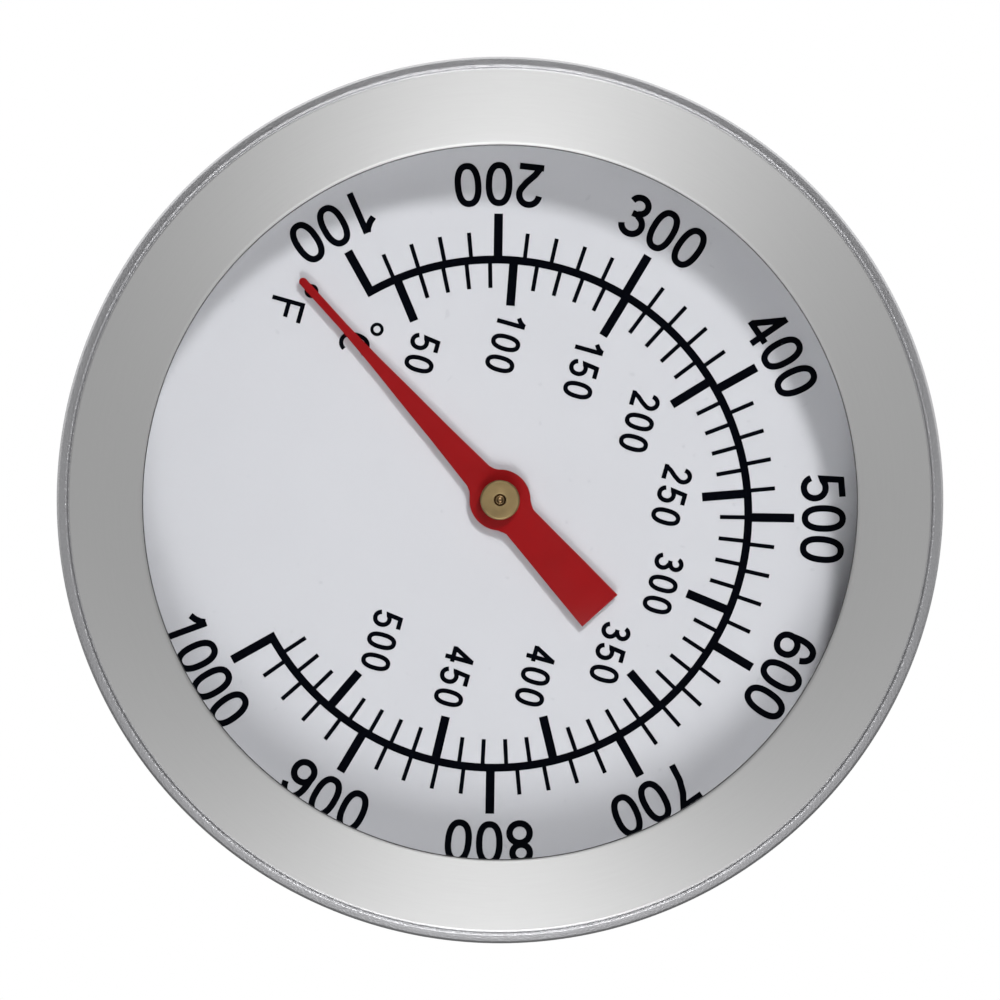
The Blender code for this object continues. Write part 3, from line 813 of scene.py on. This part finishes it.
def pointer_outline():
    """Points round the pointer as (across, along), up its right side, round the tip and down the left."""
    near_boss = [0.2 * step for step in range(-15, 16)]
    along = [-POINTER_TAIL, -8.5, -6.9, -5.5, -4.2, -3.6] + near_boss
    along += [3.6, 4.4, 6.1, 7.7, 9.4, 11.0, 12.6, 15.9, POINTER_REACH - POINTER_TIP]
    right = [(pointer_half_width(distance), distance) for distance in along]
    tip = bow((0.0, POINTER_REACH - POINTER_TIP), POINTER_TIP, POINTER_TIP, 0.0, 180.0, 2.0, 10)
    return right + tip[1:-1] + [(-across, distance) for across, distance in reversed(right)]


def make_pointer(finish):
    """Stamped pointer with a soft burr-free edge, turned to its place about the hub."""
    soft_edge = 0.07
    bm = bmesh.new()
    outline = pointer_outline()
    near = [bm.verts.new((x * MM, POINTER_FRONT * MM, z * MM)) for x, z in outline]
    far = [bm.verts.new((x * MM, POINTER_BACK * MM, z * MM)) for x, z in outline]
    bm.faces.new(near)
    bm.faces.new(list(reversed(far)))
    skin(bm, near, far)
    rim = [edge for edge in bm.edges if all(vert in near for vert in edge.verts)]
    bmesh.ops.bevel(bm, geom=rim, offset=soft_edge * MM, segments=2, affect="EDGES", profile=0.6)
    bmesh.ops.rotate(bm, verts=bm.verts, cent=(0.0, 0.0, 0.0), matrix=POINTER_TURN)
    return piece("pointer_blade", bm, finish, "movement", ["pointer"], sharp_deg=25.0)


def make_hub(finish):
    """Turned brass cap with a chamfer and a shank through the pointer."""
    shank = HUB_RADIUS - 0.42
    hole = 0.40
    seat = POINTER_FRONT - 0.15
    outline = rounded([
        (hole, HUB_FRONT, 0.05),
        (HUB_RADIUS - 0.12, HUB_FRONT, 0.03),
        (HUB_RADIUS - 0.02, HUB_FRONT + 0.07, 0.03),
        (HUB_RADIUS, HUB_FRONT + 0.3, 0.03),
        (HUB_RADIUS, seat, 0.06),
        (shank, seat, 0.0),
        (shank, HUB_BACK, 0.05),
        (hole, HUB_BACK, 0.0),
    ], steps=3)
    return turned("hub_cap", outline, finish, "movement", ["pointer_hub"], steps=96, sharp_deg=30.0)


def make_spindle(finish):
    """Thin shaft whose staked end shows in the hub."""
    front, back, _ = span("spindle")
    radius = 0.37
    outline = rounded([
        (0.0, front + 0.22, 0.0),
        (0.16, front + 0.14, 0.06),
        (0.27, front + 0.02, 0.06),
        (radius, front + 0.12, 0.04),
        (radius, back, 0.0),
        (0.0, back, 0.0),
    ], steps=3)
    return turned("spindle_shaft", outline, finish, "movement", ["spindle"], steps=48)


# ---------------------------------------------------------------- stem and fastening
def thread_radius(y, angle, start, end, root, crest):
    """Radius of a right-hand thread with flat crests, which fades in at its start and out at its end."""
    phase = (y / THREAD_PITCH - angle / TURN) % 1.0
    flank, flat = 0.32, 0.16
    rise = min(max((0.5 - abs(phase - 0.5) - flat / 2.0) / flank, 0.0), 1.0)
    fade = min(max(min(y - start, end - y) / (0.6 * THREAD_PITCH), 0.0), 1.0)
    return root + (crest - root) * rise * fade


def threaded_rows(bm, start, end, root, crest, steps, rows_per_turn=16):
    """Rings of vertices along a threaded stretch."""
    count = round((end - start) / THREAD_PITCH * rows_per_turn)
    rows = []
    for row in range(count + 1):
        y = start + (end - start) * row / count
        ring = []
        for i in range(steps):
            angle = TURN * i / steps
            ring.append(bm.verts.new(at_angle(thread_radius(y, angle, start, end, root, crest), y, angle)))
        rows.append(ring)
    return rows


def make_bush(finish):
    """Turned bush with a head in the case, a thread along its shank and a socket for the stem."""
    steps = 96
    shank, root, crest, bore = 5.0, 4.2, 4.95, 2.3
    head_back = -1.8
    socket, socket_start = STEM_RADIUS + 0.15, STEM_START - 0.3
    bm = bmesh.new()
    before = rounded([
        (bore, BUSH_FRONT, 0.1),
        (BUSH_HEAD_RADIUS, BUSH_FRONT, 0.2),
        (BUSH_HEAD_RADIUS, head_back, 0.2),
        (shank, head_back, 0.0),
        (shank, 0.2, 0.15),
        (root, 0.5, 0.0),
    ], steps=3)[:-1]
    after = rounded([
        (root, BUSH_BACK - 0.5, 0.0),
        (root - 0.25, BUSH_BACK, 0.1),
        (socket, BUSH_BACK, 0.08),
        (socket, socket_start, 0.0),
        (bore, socket_start, 0.0),
    ], steps=3)
    rings = [circle(bm, radius, y, steps) for radius, y in before]
    rings += threaded_rows(bm, 0.6, BUSH_BACK - 0.6, root, crest, steps)
    rings += [circle(bm, radius, y, steps) for radius, y in after]
    for first, second in zip(rings, rings[1:] + rings[:1]):
        skin(bm, first, second)
    return piece("threaded_bush", bm, finish, "case", ["stem_bush"], sharp_deg=40.0)


def make_stem(finish):
    """Drawn tube, with a rolled groove where it grips its plug."""
    inner = STEM_RADIUS - 0.5
    groove = TIP_START + 2.2
    outline = rounded([
        (inner, STEM_START, 0.1),
        (STEM_RADIUS, STEM_START, 0.15),
        (STEM_RADIUS, groove - 0.5, 0.3),
        (STEM_RADIUS - 0.22, groove, 0.25),
        (STEM_RADIUS, groove + 0.5, 0.3),
        (STEM_RADIUS, STEM_STOP, 0.12),
        (inner, STEM_STOP, 0.0),
    ])
    return turned("stem_sheath", outline, finish, "case", ["stem_tube"], steps=96)


def make_tip(finish):
    """Plug with a rounded end, welded into the stem."""
    inner = STEM_RADIUS - 0.7
    outline = rounded([
        (0.0, TIP_START, 0.0),
        (inner, TIP_START, 0.2),
        (inner, STEM_STOP + 0.1, 0.0),
        (STEM_RADIUS - 0.12, STEM_STOP + 0.1, 0.1),
        (STEM_RADIUS, STEM_STOP + 0.35, 0.12),
        (STEM_RADIUS, TIP_END, 1.15),
        (0.0, TIP_END, 0.0),
    ], steps=8)
    return turned("stem_tip", outline, finish, "case", ["tip_plug"], steps=96)


def make_flat_washer(finish):
    """Punched washer: rolled over on its front edges."""
    outline = rounded([
        (NUT_BORE, WASHER_FRONT, 0.15),
        (WASHER_RADIUS, WASHER_FRONT, 0.35),
        (WASHER_RADIUS, WASHER_BACK, 0.12),
        (NUT_BORE, WASHER_BACK, 0.1),
    ])
    return turned("plain_washer", outline, finish, "washers", ["flat_washer"], steps=128)


def make_spring_washer(finish):
    """Split washer of rounded square wire."""
    split_deg, steps, thickness = 16.0, 120, 1.4
    rise = SPRING_BACK - SPRING_FRONT - thickness
    section = rounded([
        (NUT_BORE, 0.0, 0.2),
        (SPRING_RADIUS, 0.0, 0.2),
        (SPRING_RADIUS, thickness, 0.2),
        (NUT_BORE, thickness, 0.2),
    ], steps=3)
    bm = bmesh.new()
    sections = []
    for step in range(steps + 1):
        share = step / steps
        angle = math.radians(split_deg / 2.0 + (360.0 - split_deg) * share)
        front = SPRING_FRONT + rise * share
        sections.append([bm.verts.new(at_angle(radius, front + y, angle)) for radius, y in section])
    for first, second in zip(sections, sections[1:]):
        skin(bm, first, second)
    bm.faces.new(sections[0])
    bm.faces.new(sections[-1])
    return piece("split_washer", bm, finish, "washers", ["spring_washer"])


def wing_helper(name, sign):
    """One wing as a plate with rounded edges, which the nut's body is joined to."""
    lobe, thickness, edge_round = 5.1, 2.4, 0.8
    reach, rise = NUT_REACH - lobe, NUT_BACK - lobe
    outline = [(4.4, NUT_FRONT + 0.9), (8.6, NUT_FRONT + 1.2)]
    outline += bow((reach, rise), lobe, lobe, -50.0, 150.0, 2.0, 22)
    outline += [(8.4, NUT_FRONT + 6.4), (4.4, NUT_FRONT + 6.3)]
    bm = bmesh.new()
    levels = []
    for z in (-thickness / 2.0, thickness / 2.0):
        levels.append([bm.verts.new((sign * x * MM, y * MM, z * MM)) for x, y in outline])
    bm.faces.new(levels[0])
    bm.faces.new(list(reversed(levels[1])))
    skin(bm, *levels)
    flat_rims = [edge for edge in bm.edges if abs(edge.verts[0].co.z - edge.verts[1].co.z) < 0.1 * MM]
    bmesh.ops.bevel(bm, geom=flat_rims, offset=edge_round * MM, segments=4, affect="EDGES", profile=0.5)
    return meshed(name, bm)


def make_wing_nut(finish):
    """Cast nut: a coned body and two wings blended together, with a threaded bore cut through."""
    base, top, length = 7.6, 6.6, 7.0
    thread_crest, thread_root, past_ends = 5.03, 5.5, 2.0
    voxel = 0.24
    bm = bmesh.new()
    turned_mesh(bm, rounded([
        (0.0, NUT_FRONT, 0.0),
        (base, NUT_FRONT, 0.35),
        (base, NUT_FRONT + 1.4, 0.8),
        (top, NUT_FRONT + length, 0.8),
        (0.0, NUT_FRONT + length, 0.0),
    ]), 96)
    body = meshed("nut_body_helper", bm)
    helpers = [body]
    for side, sign in (("left", -1.0), ("right", 1.0)):
        wing = wing_helper(f"wing_{side}_helper", sign)
        helpers.append(wing)
        join = body.modifiers.new(f"join_{side}", "BOOLEAN")
        join.operation = "UNION"
        join.object = wing
    remesh = body.modifiers.new("even_out", "REMESH")
    remesh.mode = "VOXEL"
    remesh.voxel_size = voxel * MM
    smooth = body.modifiers.new("cast_fillets", "SMOOTH")
    smooth.factor = 0.5
    smooth.iterations = 7
    bm = bmesh.new()
    start, end = NUT_FRONT - past_ends, NUT_FRONT + length + past_ends
    rows = threaded_rows(bm, start, end, thread_crest, thread_root, steps=64, rows_per_turn=10)
    for first, second in zip(rows, rows[1:]):
        skin(bm, first, second)
    bm.faces.new(rows[0])
    bm.faces.new(rows[-1])
    bore = meshed("nut_bore_helper", bm)
    helpers.append(bore)
    cut = body.modifiers.new("bore", "BOOLEAN")
    cut.operation = "DIFFERENCE"
    cut.object = bore
    graph = bpy.context.evaluated_depsgraph_get()
    bm = bmesh.new()
    bm.from_mesh(body.evaluated_get(graph).to_mesh())
    for helper in helpers:
        bpy.data.objects.remove(helper, do_unlink=True)
    return piece("cast_wing_nut", bm, finish, "nut", ["wing_nut"], sharp_deg=42.0)


# ---------------------------------------------------------------- camera, lights and floor
def make_camera():
    """Straight on from the front, rolled so that the dial appears turned clockwise."""
    lens_data = bpy.data.cameras.new("camera")
    lens_data.sensor_width = SENSOR
    lens_data.lens = SENSOR * CAMERA_DISTANCE / VIEW_WIDTH
    lens_data.clip_start = 0.01
    camera = bpy.data.objects.new("camera", lens_data)
    bpy.context.scene.collection.objects.link(camera)
    camera.location = in_view(0.0, 0.0, CAMERA_DISTANCE)
    camera.rotation_euler = (math.pi / 2.0, -math.radians(DIAL_ROLL_DEG), 0.0)
    bpy.context.scene.camera = camera


def softbox(name, place, aim, size, watts):
    """A rectangular area light at a place, turned towards a point."""
    data = bpy.data.lights.new(name, "AREA")
    data.shape = "RECTANGLE"
    data.size, data.size_y = size
    data.energy = watts
    made = bpy.data.objects.new(name, data)
    bpy.context.scene.collection.objects.link(made)
    made.location = place
    made.rotation_euler = (aim - place).to_track_quat("-Z", "Y").to_euler()
    return made


def lean(tree, way, direction):
    """How far a direction leans along another: 1 when it points the same way, and -1 when it points back."""
    made = node(tree, "ShaderNodeVectorMath", {"operation": "DOT_PRODUCT"}, _0=way, _1=direction)
    return made.outputs["Value"]


def make_world():
    """White behind the object, and a plain studio's greys for soft light and reflections.

    The greys change with how far a ray leans up in the view and forward from the camera, and a
    narrow cone round the camera reflects almost black.
    """
    long_fade, short_fade = 0.7, 0.3
    back_start, back_full = 0.25, 0.60
    cone_edge, cone_middle = -0.985, -0.998
    world = bpy.data.worlds.new("studio")
    bpy.context.scene.world = world
    world.use_nodes = True
    tree = world.node_tree
    tree.nodes.clear()
    way = node(tree, "ShaderNodeTexCoord").outputs["Generated"]
    forward = node(tree, "ShaderNodeSeparateXYZ", None, Vector=way).outputs[1]
    middle = in_view(0.0, 0.0, 0.0)
    up = lean(tree, way, in_view(0.0, 1.0, 0.0) - middle)
    front = blend(tree, mapped(tree, up, -long_fade, long_fade), grey(1.35), grey(0.30))
    back = blend(tree, mapped(tree, up, -short_fade, short_fade), grey(0.1), grey(2.0))
    shade = blend(tree, mapped(tree, forward, back_start, back_full), front, back)
    shade = blend(tree, mapped(tree, forward, cone_edge, cone_middle), shade, grey(0.02))
    rays = node(tree, "ShaderNodeLightPath").outputs
    soft = blend(tree, mapped(tree, up, -long_fade, long_fade), grey(0.135), grey(0.095))
    shade = blend(tree, rays["Is Diffuse Ray"], shade, soft)
    colour = blend(tree, rays["Is Camera Ray"], shade, grey(1.0))
    sky = node(tree, "ShaderNodeBackground", None, Color=colour, Strength=1.0)
    out = node(tree, "ShaderNodeOutputWorld")
    tree.links.new(sky.outputs[0], out.inputs["Surface"])


def make_floor():
    """Pale round floor below the gauge, which fades out at its edge."""
    drop, behind, radius, fade_start = 0.080, 0.02, 0.55, 0.12
    bm = bmesh.new()
    bmesh.ops.create_circle(bm, cap_ends=True, segments=96, radius=radius)
    mesh = bpy.data.meshes.new("floor")
    bm.to_mesh(mesh)
    bm.free()
    made, tree, shader = material("pale_floor")
    place = here(tree)
    away = node(tree, "ShaderNodeVectorMath", {"operation": "LENGTH"}, _0=place).outputs["Value"]
    grain = noise(tree, place, 300.0, detail=3.0)
    shade = blend(tree, grain, grey(0.80), grey(0.84))
    tree.links.new(shade, shader.inputs["Base Color"])
    tree.links.new(mapped(tree, away, fade_start, radius, 1.0, 0.0), shader.inputs["Alpha"])
    shader.inputs["Emission Color"].default_value = (1.0, 1.0, 1.0, 1.0)
    shader.inputs["Emission Strength"].default_value = 0.35
    shader.inputs["Roughness"].default_value = 0.7
    mesh.materials.append(made)
    floor = bpy.data.objects.new("floor", mesh)
    bpy.context.scene.collection.objects.link(floor)
    floor.location = (0.0, behind, -drop)
    floor.visible_glossy = False
    floor.visible_diffuse = False


def make_lights():
    """Three softboxes that aren't seen in reflections, and two strips that are seen only there."""
    gauge = Vector((0.0, BEZEL_FACE * MM, 0.0))
    nearness, strip_reach, strip_size, strip_watts = 0.9, 0.9, (0.5, 0.6), 12.0
    for name, right, up, size, watts in (
        ("key", 0.25, 0.52, (0.15, 0.15), 6.45),
        ("side_fill", 0.46, -0.06, (0.30, 0.30), 0.9),
        ("low_fill", 0.0, -0.58, (0.50, 0.36), 3.0),
    ):
        lamp = softbox(name, in_view(right, up, nearness), gauge, size, watts)
        lamp.visible_glossy = False
    # the strips light everything but the lens, which would mirror them over the dial
    lit_by_strips = bpy.data.collections.new("lit_by_strips")
    for thing in bpy.context.scene.objects:
        if thing.type == "MESH" and thing.name != "lens_glass":
            lit_by_strips.objects.link(thing)
    for side in (-1.0, 1.0):
        place = in_view(0.0, strip_reach * side, nearness)
        strip = softbox("strip", place, gauge, strip_size, strip_watts)
        strip.visible_diffuse = False
        strip.light_linking.receiver_collection = lit_by_strips


# ---------------------------------------------------------------- everything together
dial_finish = dial_lacquer()
ink_finish = ink()
case_steel = steel(
    "satin_stainless", (0.60, 0.60, 0.59), 0.30, lines=6.0, line_depth=0.000002, anisotropic=0.3)
# painted shade: the spacer is the case's steel at half the brightness, so that it bounces less light and the
# dial's edge under the lip stays darker
shade_painted_steel = steel("painted_shade_stainless", grey(0.30), 0.45, lines=6.0, line_depth=0.000002)
stem_steel = steel(
    "drawn_stainless", (0.62, 0.62, 0.61), 0.24, lines=14.0, line_depth=0.0000015, anisotropic=0.3)
hub_brass = brass("hub_brass", (0.25, 0.18, 0.088), 0.5)
staked_brass = brass("staked_end", (0.17, 0.11, 0.055), 0.35)
bush_brass = brass("guide_brass", (0.55, 0.40, 0.17), 0.32)
coil_metal = steel("bimetal", (0.46, 0.41, 0.35), 0.34, lines=10.0, line_depth=0.000002)
black_rubber = rubber()
plated = zinc()

make_bezel(bezel_steel())
make_case(case_steel)
make_lens(glass())
make_dial(dial_finish)
make_spacer(shade_painted_steel)
printed("dial_scale", scale_quads(), ink_finish)
printed("fahrenheit_numerals", fahrenheit_quads(), ink_finish)
printed("celsius_numerals", celsius_quads(), ink_finish)
printed("unit_marks", unit_quads(), ink_finish)
make_pointer(red_paint())
make_hub(hub_brass)
make_spindle(staked_brass)
make_bush(case_steel)
make_stem(stem_steel)
make_tip(stem_steel)
make_flat_washer(plated)
make_spring_washer(plated)
make_wing_nut(plated)

INNER_FINISHES = {
    "lens_gasket": black_rubber,
    "bush_seal": black_rubber,
    "bimetal_coil": coil_metal,
    "coil_anchor": stem_steel,
    "coil_collar": stem_steel,
    "upper_guide_bush": bush_brass,
    "lower_guide_bush": bush_brass,
}
for name, finish in INNER_FINISHES.items():
    frame["nodes"][name].material_slots[0].material = finish

make_camera()
make_world()
make_floor()
make_lights()
bpy.context.scene.view_settings.view_transform = "Standard"
